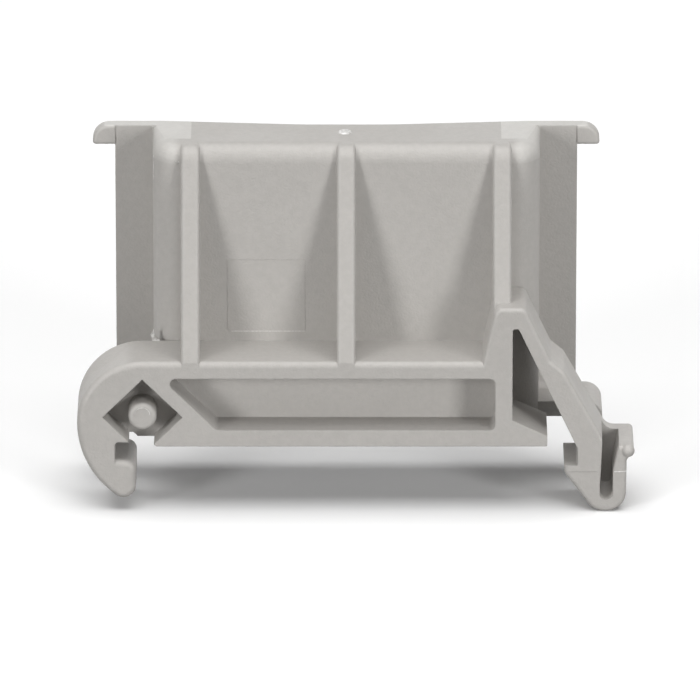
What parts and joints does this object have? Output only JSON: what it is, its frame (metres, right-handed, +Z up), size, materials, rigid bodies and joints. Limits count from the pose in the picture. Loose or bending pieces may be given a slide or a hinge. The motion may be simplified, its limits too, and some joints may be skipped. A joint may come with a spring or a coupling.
{
  "type": "mounting angle adapter",
  "caption": "Grey moulded adapter: its foot snaps onto a 35 mm top-hat rail, and its upright hat-shaped back repeats the rail section at a right angle for carriers.",
  "frame": {"origin": "on the rail seat under the foot: rail centre line, middle of the foot's depth, top plane of the rail flanges", "axes": "+X across the rail from the fixed claw to the spring lever, +Y along the rail from the foot's front to the carrier side, +Z up from the rail"},
  "size_m": [0.0423, 0.0114, 0.0277],
  "materials": {
    "adapter_polyamide": "light grey polyamide, fine matte mould grain"
  },
  "bodies": {
    "root": {"angle_adapter": "adapter_polyamide"}
  },
  "joints": []
}
